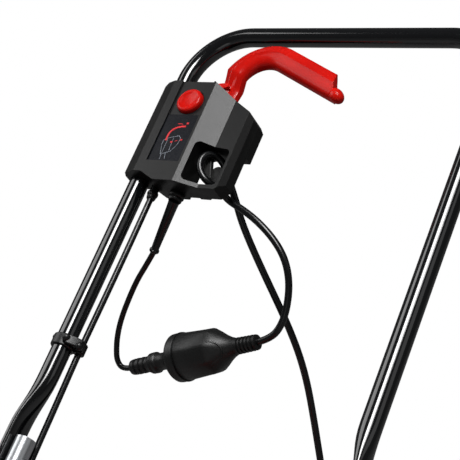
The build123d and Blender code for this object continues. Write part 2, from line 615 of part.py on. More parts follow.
def grass_box():
    def form(inset, low, high):
        slope = radians(FLAP_ANGLE)
        shoulder_y = BOX_FRONT + (BOX_TOP - 205) / tan(slope)
        face = make_face(Polyline(
            (BOX_FRONT, BOX_BOTTOM + 20), (BOX_FRONT, 203), (shoulder_y + 8, BOX_TOP),
            (BOX_REAR - 60, BOX_TOP), (BOX_REAR, BOX_TOP - 50), (BOX_REAR - 12, BOX_BOTTOM + 45), (BOX_REAR - 60, BOX_BOTTOM),
            (BOX_FRONT + 25, BOX_BOTTOM), close=True,
        ))
        if inset:
            face = offset(face, -inset, kind=Kind.INTERSECTION)
        half = BOX_HALF - inset
        plane = Plane(origin=(-half, 0, 0), x_dir=(0, 1, 0), z_dir=(1, 0, 0))
        solid = extrude(plane * face, amount=2 * half)
        return solid & block((-200, 0, low), (200, 700, high))

    mouth = block((-98, BOX_FRONT - 5, 104), (98, BOX_FRONT + 5, 196))
    shell = form(0, 0, BOX_SPLIT) - form(BOX_WALL, 0, BOX_SPLIT + 5) - mouth
    save("grass_box_shell", ON_DECK * shell)
    lid = form(0, BOX_SPLIT + 0.2, 400) - form(BOX_WALL, BOX_SPLIT - 5, 400)
    for number in range(6):
        lid -= block((-90, 350 + 20 * number, BOX_TOP - 5), (-45, 356 + 20 * number, BOX_TOP + 5))
        lid -= block((45, 350 + 20 * number, BOX_TOP - 5), (90, 356 + 20 * number, BOX_TOP + 5))
    save("grass_box_lid", ON_DECK * lid)
    path = FilletPolyline((-55, 0, 0), (-48, 0, 34), (48, 0, 34), (55, 0, 0), radius=12)
    grip = sweep(Plane(origin=path @ 0, z_dir=path % 0) * Circle(7), path=path)
    grip = Pos(0, 430, BOX_TOP + 0.2) * grip & block((-90, 400, BOX_TOP), (90, 460, 400))
    save("grass_box_handle", ON_DECK * grip)


# ---------------------------------------------------------------- cords
def coupling():
    """Mains lead's plug and the extension cord's connector, pushed together."""
    slope = radians(COUPLING_SLOPE)
    axis = Plane(origin=COUPLING_START, x_dir=(0, 1, 0), z_dir=(cos(slope), 0, sin(slope)))

    def turned(points):
        outline = [(r, s) for s, r in points]
        face = make_face(Polyline((0, points[0][0]), *outline, (0, points[-1][0]), close=True))
        return axis * revolve(Plane.XZ * face, axis=Axis.Z)

    plug = turned([
        (0, 6.5), (2, 7.7), (28, 7.7), (30, 11.5), (38, 12), (40, 10.5), (50, 10.5), (60, 19), (64, 22),
    ])
    connector = turned([
        (64.2, 25), (67, 27.5), (76, 27.5), (80, 26), (118, 25), (124, 22), (136, 14), (148, 11.5),
        (150, 9.5), (175, 8),
    ])
    save("appliance_plug", plug)
    save("extension_coupler", connector)


LEAD_ROUTE = [
    (-169, 399.5, 764), (-179, 399.5, 749), (-192, 399.5, 731), (-204, 399, 708), (-215, 399, 684),
    (-221, 399.5, 664), (-223, 400, 648), (-223, 401, 634), (-214.5, 401.5, 625.1), (-201, 401.5, 629),
]
LOOP_ROUTE = [
    (-32.8, 401.5, 677.2), (-16, 402, 683), (-4, 404, 699), (1, 407, 721), (1, 410, 745), (-6, 413, 767),
    (-21, 416, 786), (-42, 418.5, 803), (-64, 422, 815), (-86.5, 425, 824), (-91.5, 415.5, 837),
    (-101, 405, 845.5), (-111, 406.5, 855.5), (-115.5, 412.5, 866.5), (-114, 421.5, 874),
    (-107.5, 430.5, 873), (-99.5, 437, 862.5), (-92, 436.5, 842.5), (-85, 438, 822), (-79, 440, 800),
    (-69, 445.5, 772), (-56, 453, 739), (-43, 461.5, 706), (-33, 469.5, 677), (-25, 477, 648),
    (-20, 484.5, 617), (-17, 491.5, 583), (-13, 496, 548), (-8, 498, 515), (-2, 497, 485),
]
TAIL_ROUTE = [
    (-1.9, 496.98, 484.5), (4, 496, 455), (12, 491, 422), (22, 483, 386), (34, 477, 346), (46, 472, 304),
    (58, 469, 260), (70, 467, 216), (82, 464, 174), (93, 459, 136), (101, 450, 103), (104, 438, 74),
    (103, 425, 50), (102, 412, 34),
]
MOTOR_CABLE_UPPER = [
    (19.5, -200, -6), (19.5, -236, -6), (19, -290, -7), (17.5, -350, -8.5), (15.5, -400, -10),
    (15.5, -434, -10), (14.5, -480, -13), (14.8, -522, -14.8),
]
MOTOR_CABLE_LOWER = [
    (15, -575, -15.8), (14.8, -640, -16.2), (15.2, -720, -16.2), (14.8, -800, -16.2), (15.2, -870, -16.2),
    (17, -920, -16.2),
]
MOTOR_CABLE_TO_HOOD = [
    (-152, -72, 262), (-129, -98, 247), (-108, -130, 233), (-90, -162, 225), (-77, -192, 222),
    (-75, -222, 222),
]


def cords():
    coupling()
    cord("mains_lead", LEAD_ROUTE, LEAD_D)
    cord("ext_cord_loop", LOOP_ROUTE, EXTENSION_D)
    cord("ext_cord_tail", TAIL_ROUTE, EXTENSION_D)
    cord("motor_cable_upper", [in_row(*p) for p in MOTOR_CABLE_UPPER], MOTOR_CABLE_D)
    cord("motor_cable_lower", [in_row(*p) for p in MOTOR_CABLE_LOWER] + MOTOR_CABLE_TO_HOOD, MOTOR_CABLE_D)
    inner, outer = COIL_R
    middle = (inner + outer) / 2
    section = Pos(middle, COIL_HIGH / 2) * RectangleRounded(outer - inner, COIL_HIGH, 14)
    ring = revolve(Plane.XZ * section, axis=Axis.Z)
    save("ext_coil", Pos(*COIL_AT, 0.2) * ring)


def mains_plug():
    body = rod((0, 0, 0), (36, 0, 0), 17) & block((-1, -20, -15), (40, 20, 15))
    body += Pos(-24, 0, 0) * Rot(0, 90, 0) * Cone(5, 9, 24.5, align=BASE)
    for side in (-1, 1):
        body += rod((35, 9.5 * side, 0), (55, 9.5 * side, 0), 2.4)
    x, y, z = PLUG_AT
    save("mains_plug", Pos(COIL_AT[0] + x, COIL_AT[1] + y, COIL_HIGH + z) * body)


upper_handle()
fold_joints()
switch_box()
lock_button()
start_lever()
cable_fittings()
cable_clip()
deck()
tube_screws()
hood()
motor()
running_gear()
rear_flap()
grass_box()
cords()
mains_plug()
print(len(written), "nodes")
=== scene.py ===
"""Corded electric lawn mower: looks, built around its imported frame."""
import json
from math import atan2, cos, pi, radians, sin

import bmesh
import bpy
from bpy.props import FloatProperty, IntProperty, PointerProperty, StringProperty
from mathutils import Matrix, Vector

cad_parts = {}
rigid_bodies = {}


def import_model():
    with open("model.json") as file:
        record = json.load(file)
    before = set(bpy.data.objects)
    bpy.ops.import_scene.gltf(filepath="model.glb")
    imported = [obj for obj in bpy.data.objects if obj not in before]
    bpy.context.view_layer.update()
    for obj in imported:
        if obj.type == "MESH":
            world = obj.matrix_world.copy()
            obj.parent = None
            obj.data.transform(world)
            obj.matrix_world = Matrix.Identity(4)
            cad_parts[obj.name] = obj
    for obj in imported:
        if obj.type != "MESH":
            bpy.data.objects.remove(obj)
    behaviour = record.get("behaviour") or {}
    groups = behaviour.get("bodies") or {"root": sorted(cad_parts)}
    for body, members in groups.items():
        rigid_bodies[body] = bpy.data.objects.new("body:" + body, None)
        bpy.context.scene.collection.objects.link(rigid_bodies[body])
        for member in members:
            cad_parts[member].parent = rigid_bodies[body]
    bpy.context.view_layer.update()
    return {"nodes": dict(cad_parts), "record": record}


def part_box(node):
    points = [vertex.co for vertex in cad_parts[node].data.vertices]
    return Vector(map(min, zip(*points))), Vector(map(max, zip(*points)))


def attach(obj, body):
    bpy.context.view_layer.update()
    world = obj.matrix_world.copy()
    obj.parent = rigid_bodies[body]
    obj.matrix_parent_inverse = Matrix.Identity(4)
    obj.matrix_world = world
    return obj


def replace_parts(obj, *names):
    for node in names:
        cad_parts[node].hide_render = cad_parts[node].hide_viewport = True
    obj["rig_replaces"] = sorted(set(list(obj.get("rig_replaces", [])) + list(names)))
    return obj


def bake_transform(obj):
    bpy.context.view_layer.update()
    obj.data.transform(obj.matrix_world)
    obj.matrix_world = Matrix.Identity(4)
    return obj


bl_info = {
    "name": "Lawn Mower",
    "version": (1, 0, 0),
    "blender": (4, 5, 0),
    "location": "View3D > Sidebar > Mower",
    "description": "Builds a corded electric lawn mower around its frame",
    "category": "Add Mesh",
}

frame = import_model()
MM = 0.001
BODY_OF = {node: body for body, nodes in frame["record"]["behaviour"]["bodies"].items() for node in nodes}
SLOT_OF = {row["node"]: row["material_slot"] for row in frame["record"]["subparts"]}

# The handle plane's own frame: u across, v up the leg, w out of the plane and up, from the corner of
# the right leg's axis and the crossbar's axis.
BAR = next(m for m in frame["record"]["mounts"] if m["name"] == "crossbar_grip")["pos_m"]
LEG_SPACING = 0.380
FOLD_V = -0.560
HANDLE_ANGLE = radians(50)
HANDLE = Matrix((
    (1, 0, 0, -LEG_SPACING / 2),
    (0, cos(HANDLE_ANGLE), -sin(HANDLE_ANGLE), BAR[1]),
    (0, sin(HANDLE_ANGLE), cos(HANDLE_ANGLE), BAR[2]),
    (0, 0, 0, 1),
))


# ---------------------------------------------------------------- settings
class MowerSettings(bpy.types.PropertyGroup):
    tube_radius: FloatProperty(
        name="Tube radius", description="Radius of the handle tube", default=0.011, unit="LENGTH")
    bend_radius: FloatProperty(
        name="Corner radius", description="Bend of the handle's two corners", default=0.065, unit="LENGTH")
    tube_facets: IntProperty(
        name="Tube facets", description="Flats round the handle tube", default=48, min=12)
    handle_black: StringProperty(
        name="Handle paint", description="Colour of the handle's paint", default="0b0c0e")
    signal_red: StringProperty(
        name="Red", description="Colour of the lever and the button", default="c9150d")
    deck_red: StringProperty(
        name="Deck red", description="Colour of the deck and the grass box's lid", default="b5140f")
    housing_grey: StringProperty(
        name="Housing grey", description="Colour of the switch box", default="101010")


def settings():
    return bpy.context.scene.mower


# ---------------------------------------------------------------- materials
def linear(hex_code):
    """An sRGB hex colour as linear RGBA."""
    values = [int(hex_code[i:i + 2], 16) / 255 for i in (0, 2, 4)]
    return [c / 12.92 if c <= 0.04045 else ((c + 0.055) / 1.055) ** 2.4 for c in values] + [1.0]


def add(tree, kind, inputs=None, **settings_of_node):
    """Add one node. A tuple (node, socket) among its inputs is a link, anything else a value."""
    node = tree.nodes.new(kind)
    for name, value in settings_of_node.items():
        setattr(node, name, value)
    for name, value in (inputs or {}).items():
        if isinstance(value, tuple) and hasattr(value[0], "outputs"):
            tree.links.new(value[0].outputs[value[1]], node.inputs[name])
        else:
            node.inputs[name].default_value = value
    return node


def surface(name, colour, roughness, **extras):
    """A Principled material on Object coordinates; returns the material, its tree, shader and place."""
    material = bpy.data.materials.new(name)
    material.use_nodes = True
    tree = material.node_tree
    tree.nodes.clear()
    inputs = {"Base Color": linear(colour), "Roughness": roughness, **extras}
    shader = add(tree, "ShaderNodeBsdfPrincipled", inputs)
    add(tree, "ShaderNodeOutputMaterial", {"Surface": (shader, 0)})
    place = add(tree, "ShaderNodeTexCoord")
    material.diffuse_color = linear(colour)
    return material, tree, shader, place


def grain(tree, shader, place, size_mm, depth_mm, detail=3.0, stretch=None, roughness_swing=None):
    """Moulded or sprayed texture of a real grain size, as bump, and a matching change in gloss."""
    vector = (place, "Object")
    if stretch:
        mapping = add(tree, "ShaderNodeMapping", {"Vector": vector, "Scale": stretch})
        vector = (mapping, 0)
    noise = add(tree, "ShaderNodeTexNoise", {
        "Vector": vector, "Scale": 1 / (size_mm * MM), "Detail": detail, "Roughness": 0.55})
    bump = add(tree, "ShaderNodeBump", {
        "Height": (noise, 0), "Strength": 0.6, "Distance": depth_mm * MM})
    tree.links.new(bump.outputs[0], shader.inputs["Normal"])
    if roughness_swing:
        low, high = roughness_swing
        swing = add(tree, "ShaderNodeMapRange", {"Value": (noise, 0), "From Min": 0.35, "From Max": 0.65,
                                                 "To Min": low, "To Max": high})
        tree.links.new(swing.outputs[0], shader.inputs["Roughness"])
    return noise


def handling_marks(tree, shader, place, colour, faded, size_mm=60):
    """A slow change of tone over the piece, as hands, sun and dust leave it."""
    cloud = add(tree, "ShaderNodeTexNoise", {
        "Vector": (place, "Object"), "Scale": 1 / (size_mm * MM), "Detail": 4.0})
    ramp = add(tree, "ShaderNodeMapRange", {"Value": (cloud, 0), "From Min": 0.35, "From Max": 0.7})
    mix = add(tree, "ShaderNodeMix", {
        "Factor": (ramp, 0), "A": linear(colour), "B": linear(faded)}, data_type="RGBA")
    mix.inputs[6].default_value = linear(colour)
    mix.inputs[7].default_value = linear(faded)
    tree.links.new(mix.outputs[2], shader.inputs["Base Color"])


def powder_coat():
    """Gloss powder coat on steel tube: deep black with hard highlights and a slight orange peel."""
    material, tree, shader, place = surface(
        "gloss black powder coat", settings().handle_black, 0.12,
        **{"Specular IOR Level": 0.8, "Coat Weight": 0.4, "Coat Roughness": 0.05})
    grain(tree, shader, place, 9.0, 0.010, roughness_swing=(0.09, 0.13))
    return material


def textured_abs():
    """Spark-textured ABS: a dry grey-black that goes pale on faces turned to the light."""
    material, tree, shader, place = surface(
        "spark textured ABS", settings().housing_grey, 0.36, **{"Specular IOR Level": 0.27})
    handling_marks(tree, shader, place, settings().housing_grey, "141414", 35)
    grain(tree, shader, place, 0.7, 0.04, detail=5.0, roughness_swing=(0.30, 0.42))
    return material


def gloss_red():
    """Polished injection-moulded ABS, coloured through: saturated red with wet-looking highlights."""
    material, tree, shader, place = surface(
        "polished red ABS", settings().signal_red, 0.26, **{"Specular IOR Level": 0.14, "Coat Weight": 0.05,
                                                            "Coat Roughness": 0.05, "Subsurface Weight": 0.05,
                                                            "Subsurface Scale": 0.003})
    shader.inputs["Subsurface Radius"].default_value = (1.0, 0.25, 0.15)
    handling_marks(tree, shader, place, settings().signal_red, "ba110b", 45)
    grain(tree, shader, place, 6.0, 0.02, roughness_swing=(0.20, 0.28))
    return material


def deck_red():
    """Moulded polypropylene deck: a little duller than the lever, with flow texture and dust."""
    material, tree, shader, place = surface(
        "moulded red polypropylene", settings().deck_red, 0.28,
        **{"Coat Weight": 0.2, "Coat Roughness": 0.15})
    handling_marks(tree, shader, place, settings().deck_red, "a31a14", 120)
    grain(tree, shader, place, 3.0, 0.03, roughness_swing=(0.22, 0.36))
    return material


def plain_plastic(name, colour, faded, low, high, size_mm=0.8, depth_mm=0.03, specular=0.5):
    """Moulded polypropylene or nylon with a fine etched texture."""
    gloss = {"Specular IOR Level": specular}
    material, tree, shader, place = surface(name, colour, (low + high) / 2, **gloss)
    handling_marks(tree, shader, place, colour, faded)
    grain(tree, shader, place, size_mm, depth_mm, roughness_swing=(low, high))
    return material


def plated_steel(name, colour, low, high, stretch=(1, 1, 1), size_mm=1.2):
    """Zinc-plated or bare steel: metal grey with drawn or rolled marks."""
    material, tree, shader, place = surface(name, colour, (low + high) / 2, Metallic=1.0)
    grain(tree, shader, place, size_mm, 0.01, stretch=stretch, roughness_swing=(low, high))
    return material


def drawn_tube():
    """Galvanised drawn tube: pale satin grey, its fine lines run along the tube."""
    material, tree, shader, place = surface("galvanised steel tube", "c9cccf", 0.3, Metallic=0.9)
    mapping = add(tree, "ShaderNodeMapping", {"Vector": (place, "Object"), "Rotation": (radians(50), 0, 0)})
    turned = add(tree, "ShaderNodeMapping", {"Vector": (mapping, 0), "Scale": (1.0, 1.0, 0.02)})
    lines = add(tree, "ShaderNodeTexNoise", {"Vector": (turned, 0), "Scale": 2500.0, "Detail": 2.0})
    swing = add(tree, "ShaderNodeMapRange", {"Value": (lines, 0), "To Min": 0.27, "To Max": 0.36})
    tree.links.new(swing.outputs[0], shader.inputs["Roughness"])
    return material


def make_materials():
    """Every finish, by the record's slot where it has one."""
    return {
        "black_tube": powder_coat(),
        "zinc_tube": drawn_tube(),
        "box_abs": textured_abs(),
        "red_abs": gloss_red(),
        "deck_red": deck_red(),
        "black_hood": plain_plastic("polished black ABS", "0c0c0d", "141415", 0.14, 0.24, 4.0, 0.02),
        "label_film": plain_plastic("navy polyester film", "02040b", "040711", 0.24, 0.32, 5.0, 0.005, 0.12),
        "print_red": plain_plastic("red screen print", "d8232a", "d8232a", 0.40, 0.5, 1.0, 0.01),
        "print_grey": plain_plastic("pale grey screen print", "9aa0aa", "8b919b", 0.40, 0.5, 1.0, 0.01),
        "steel": plated_steel("zinc plated steel", "b4b6b9", 0.25, 0.4),
        "spring_steel": plated_steel("oiled spring steel", "6d6e72", 0.25, 0.38),
        "laminations": plated_steel("varnished laminations", "56504a", 0.4, 0.55, (1, 1, 30), 3.0),
        "cast_bracket": plated_steel("die cast aluminium", "a9abad", 0.42, 0.6, (1, 1, 1), 0.8),
        "white_plastic": plain_plastic("white polypropylene can", "d9d9d3", "cbcbc2", 0.35, 0.5),
        "black_plastic": plain_plastic("black polypropylene", "151515", "1d1d1c", 0.40, 0.58),
        "grey_plastic": plain_plastic("silver grey ABS", "8d8f92", "84868a", 0.28, 0.38),
        "wheel_plastic": plain_plastic(
            "black wheel polypropylene", "131313", "1f1e1c", 0.45, 0.65, 1.2, 0.05),
        "blade_steel": plated_steel("blackened blade steel", "3a3b3d", 0.3, 0.5),
        "rubber_black": plain_plastic("soft black rubber", "0a0b0b", "101112", 0.34, 0.45, 2.0, 0.02),
        "cable_pvc": plain_plastic("satin PVC sheath", "08090a", "0d0e10", 0.24, 0.30, 9.0, 0.003),
        "plug_pvc": plain_plastic("matt moulded PVC", "0b0c0c", "111212", 0.36, 0.50, 0.9, 0.03),
        "brass": plated_steel("nickel plated brass", "c7b98f", 0.2, 0.3),
    }


MATERIALS = {}


# ---------------------------------------------------------------- mesh helpers
def finish_piece(bm, name, slot, body=None, replaces=(), place=None, smooth_angle=35, bevel_mm=0.0,
                 material=None):
    """Turn a bmesh into a finished piece that rides on a body."""
    bmesh.ops.remove_doubles(bm, verts=bm.verts, dist=0.00001)
    bmesh.ops.recalc_face_normals(bm, faces=bm.faces)
    if place is not None:
        bmesh.ops.transform(bm, matrix=place, verts=bm.verts)
    mesh = bpy.data.meshes.new(name)
    bm.to_mesh(mesh)
    bm.free()
    return dress(mesh, name, slot, body, replaces, smooth_angle, bevel_mm, material)


def dress(mesh, name, slot, body, replaces, smooth_angle=35, bevel_mm=0.0, material=None):
    """Object, material, edge rounding and body for one mesh."""
    piece = bpy.data.objects.new(name, mesh)
    bpy.context.scene.collection.objects.link(piece)
    mesh.materials.append(MATERIALS[material or slot])
    mesh.shade_smooth()
    if smooth_angle:
        mesh.set_sharp_from_angle(angle=radians(smooth_angle))
    if bevel_mm:
        bevel = piece.modifiers.new("rounded edges", "BEVEL")
        bevel.width = bevel_mm * MM
        bevel.segments = 3
        bevel.limit_method = "ANGLE"
        bevel.angle_limit = radians(30)
        bevel.harden_normals = True
    if replaces:
        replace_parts(piece, *replaces)
        body = body or BODY_OF[replaces[0]]
    if body:
        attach(piece, body)
    return piece


def refined(node, material=None, bevel_mm=0.5):
    """A CAD node's shape with its triangles merged into faces, and its edges rounded."""
    bm = bmesh.new()
    bm.from_mesh(frame["nodes"][node].data)
    bmesh.ops.remove_doubles(bm, verts=bm.verts, dist=0.00001)
    bmesh.ops.dissolve_limit(
        bm, angle_limit=radians(0.6), verts=bm.verts, edges=bm.edges, use_dissolve_boundaries=False)
    mesh = bpy.data.meshes.new(node)
    bm.to_mesh(mesh)
    bm.free()
    slot = SLOT_OF[node]
    return dress(mesh, f"{node}_finished", slot, None, (node,), 32, bevel_mm, material)


def lathe(points, steps=64):
    """A closed profile of (radius, height) in millimetres, turned about Z."""
    bm = bmesh.new()
    verts = [bm.verts.new((r * MM, 0, z * MM)) for r, z in points]
    edges = [bm.edges.new(pair) for pair in zip(verts, verts[1:])]
    bmesh.ops.spin(bm, geom=verts + edges, cent=(0, 0, 0), axis=(0, 0, 1), angle=2 * pi, steps=steps,
                   use_merge=True)
    bmesh.ops.remove_doubles(bm, verts=bm.verts, dist=0.00001)
    return bm


def raise_faces(bm, faces, way):
    """Push faces out by a vector, with walls after them."""
    pushed = bmesh.ops.extrude_face_region(bm, geom=faces)["geom"]
    bmesh.ops.translate(bm, verts=[g for g in pushed if isinstance(g, bmesh.types.BMVert)], vec=way)


def plate(corners, way):
    """A flat plate from its corners and its thickness as a vector, both in millimetres."""
    bm = bmesh.new()
    face = bm.faces.new([bm.verts.new((x * MM, y * MM, z * MM)) for x, y, z in corners])
    raise_faces(bm, [face], tuple(part * MM for part in way))
    return bm


def along(start, end):
    """A placing matrix whose Z runs from one point towards another."""
    direction = (Vector(end) - Vector(start)).normalized()
    return Matrix.Translation(start) @ direction.to_track_quat("Z", "Y").to_matrix().to_4x4()


def in_handle(u, v, w):
    """A point of the handle plane's frame in millimetres, as a point of the row in metres."""
    return HANDLE @ Vector((u * MM, v * MM, w * MM))


# ---------------------------------------------------------------- cords: routes in millimetres
LEAD_ROUTE = [
    (-169, 399.5, 764), (-179, 399.5, 749), (-192, 399.5, 731), (-204, 399, 708), (-215, 399, 684),
    (-221, 399.5, 664), (-223, 400, 648), (-223, 401, 634), (-214.5, 401.5, 625.1), (-201, 401.5, 629),
]
EXTENSION_ROUTE = [
    (-32.8, 401.5, 677.2), (-16, 402, 683), (-4, 404, 699), (1, 407, 721), (1, 410, 745), (-6, 413, 767),
    (-21, 416, 786), (-42, 418.5, 803), (-64, 422, 815), (-86.5, 425, 824), (-91.5, 415.5, 837),
    (-101, 405, 845.5), (-111, 406.5, 855.5), (-115.5, 412.5, 866.5), (-114, 421.5, 874),
    (-107.5, 430.5, 873), (-99.5, 437, 862.5), (-92, 436.5, 842.5), (-85, 438, 822), (-79, 440, 800),
    (-69, 445.5, 772), (-56, 453, 739), (-43, 461.5, 706), (-33, 469.5, 677), (-25, 477, 648),
    (-20, 484.5, 617), (-17, 491.5, 583), (-13, 496, 548), (-8, 498, 515), (-2, 497, 485),
    (4, 496, 455), (12, 491, 422), (22, 483, 386), (34, 477, 346), (46, 472, 304),
    (58, 469, 260), (70, 467, 216), (82, 464, 174), (93, 459, 136), (101, 450, 103), (104, 438, 76),
    (103, 425, 54), (102, 412, 38),
]
MOTOR_CABLE_IN_HANDLE = [
    (19.5, -200, -6), (19.5, -236, -6), (19, -290, -7), (17.5, -350, -8.5), (15.5, -400, -10),
    (15.5, -434, -10), (14.0, -480, -13.2), (12.8, -535, -15.4), (14.2, -575, -15.8), (14.8, -640, -16.2),
    (15.2, -720, -16.2), (14.8, -800, -16.2), (15.2, -870, -16.2), (17, -920, -16.2),
]
MOTOR_CABLE_TO_HOOD = [
    (-152, -72, 262), (-129, -98, 247), (-108, -130, 233), (-90, -162, 225), (-77, -192, 222),
    (-75, -222, 222),
]


def spline(name, points, radius, sides=5):
    """One smooth NURBS line through the room, with a round section."""
    data = bpy.data.curves.new(name, "CURVE")
    data.dimensions = "3D"
    line = data.splines.new("NURBS")
    line.points.add(len(points) - 1)
    for knot, point in zip(line.points, points):
        knot.co = (*point, 1.0)
    line.order_u = 3
    line.use_endpoint_u = True
    line.resolution_u = 6
    data.bevel_depth = radius
    data.bevel_resolution = sides
    data.use_fill_caps = True
    piece = bpy.data.objects.new(name, data)
    bpy.context.scene.collection.objects.link(piece)
    return piece


def line_of(points):
    """Points along the smooth line of a route."""
    bare = spline("route_line", points, 0.0)
    bare.data.use_fill_caps = False
    mesh = bpy.data.meshes.new_from_object(bare)
    found = [vert.co.copy() for vert in mesh.vertices]
    bpy.data.objects.remove(bare)
    return found


def meshed(piece, name):
    """A curve piece as a mesh, with its round section kept."""
    bpy.context.view_layer.update()
    mesh = bpy.data.meshes.new_from_object(piece)
    bpy.data.objects.remove(piece)
    mesh.name = name
    return mesh


STEPS_PER_TURN = 16
COIL_INNER, COIL_OUTER = 50.0, 92.0
COIL_STEPS = 78
COIL_ROWS = (29.6, 21.2, 12.8, 4.4)
LEAD_RADIUS = 0.00325
EXTENSION_RADIUS = 0.004
MOTOR_CABLE_RADIUS = 0.0035


def coil_points(centre, inner, outer, steps, heights, start_angle):
    """Rows of turns wound clockwise, out and in again, one under another, from the coil's own sizes."""
    points = []
    angle = start_angle
    for row, height in enumerate(heights):
        for step in range(steps):
            share = (step + 0.5) / steps
            radius = inner + (outer - inner) * (share if row % 2 == 0 else 1 - share)
            points.append((*around(centre, angle, radius), height))
            angle -= 2 * pi / STEPS_PER_TURN
    return points, angle


def around(centre, angle, radius):
    """A point at an angle and a distance from a centre, seen from above."""
    return centre[0] + radius * cos(angle), centre[1] + radius * sin(angle)


class MOWER_OT_cords(bpy.types.Operator):
    """Mains lead, extension cord with its stored coil, and the cable down to the motor"""
    bl_idname = "mower.cords"
    bl_label = "Cords"

    def execute(self, context):
        lead_points = [Vector(p) * MM for p in LEAD_ROUTE]
        lead = spline("mains_lead_cord", lead_points, LEAD_RADIUS)
        lead.data.materials.append(MATERIALS["cable_pvc"])
        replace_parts(lead, "mains_lead")
        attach(lead, "handle")

        low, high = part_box("ext_coil")
        centre = ((low.x + high.x) / 2 / MM, (low.y + high.y) / 2 / MM)
        end = EXTENSION_ROUTE[-1]
        start_angle = atan2(end[1] - centre[1], end[0] - centre[0])
        turns, angle = coil_points(centre, COIL_INNER, COIL_OUTER, COIL_STEPS, COIL_ROWS, start_angle - 2.6)
        reach_in = [
            (*around(centre, start_angle - a, r), z)
            for a, r, z in ((0.5, 73, 38.2), (1.0, 68, 38.0), (1.5, 62, 37.4), (2.0, 57, 35.0))
        ]
        leave = [
            (*around(centre, angle - a, r), z)
            for a, r, z in ((0.4, 45, 6), (0.9, 42, 12), (1.5, 39, 20), (2.1, 38, 29), (2.7, 40, 37),
                            (3.2, 50, 40.5), (3.6, 63, 40.5), (4.0, 76, 40.0), (4.35, 87, 40.5))
        ]
        plug_low, plug_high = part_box("mains_plug")
        plug_x, plug_y = plug_low.x / MM, (plug_low.y + plug_high.y) / 2 / MM
        plug_z = (plug_low.z + plug_high.z) / 2 / MM
        into_plug = [
            (plug_x - 14, plug_y - 14, plug_z - 5.5), (plug_x - 9, plug_y - 4.5, plug_z - 2.0),
            (plug_x - 3, plug_y - 0.4, plug_z - 0.2), (plug_x + 4, plug_y, plug_z),
        ]
        route = [Vector(p) * MM for p in EXTENSION_ROUTE + reach_in + turns + leave + into_plug]
        path = line_of(route)
        mesh = meshed(spline("extension", route, EXTENSION_RADIUS), "extension_cord")
        mesh.materials.clear()
        cord = dress(mesh, "extension_cord", "cable_pvc", None, (), 0)
        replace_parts(cord, "ext_cord_loop", "ext_cord_tail", "ext_coil")
        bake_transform(cord)

        cable_points = [in_handle(*p) for p in MOTOR_CABLE_IN_HANDLE]
        cable_points += [Vector(p) * MM for p in MOTOR_CABLE_TO_HOOD]
        mesh = meshed(spline("cable", cable_points, MOTOR_CABLE_RADIUS), "motor_cable")
        mesh.materials.clear()
        cable = dress(mesh, "motor_cable", "cable_pvc", None, (), 0)
        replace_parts(cable, "motor_cable_upper", "motor_cable_lower")
        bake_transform(cable)
        return {"FINISHED"}


# ---------------------------------------------------------------- handle tube
ROUND_TO_V = -0.455        # the leg is round down to here
FLAT_MIDDLE_U = -0.0070    # its pressed tongue: middle, half thickness and half width
FLAT_HALF_THICK = 0.0040
FLAT_HALF_WIDE = 0.0145


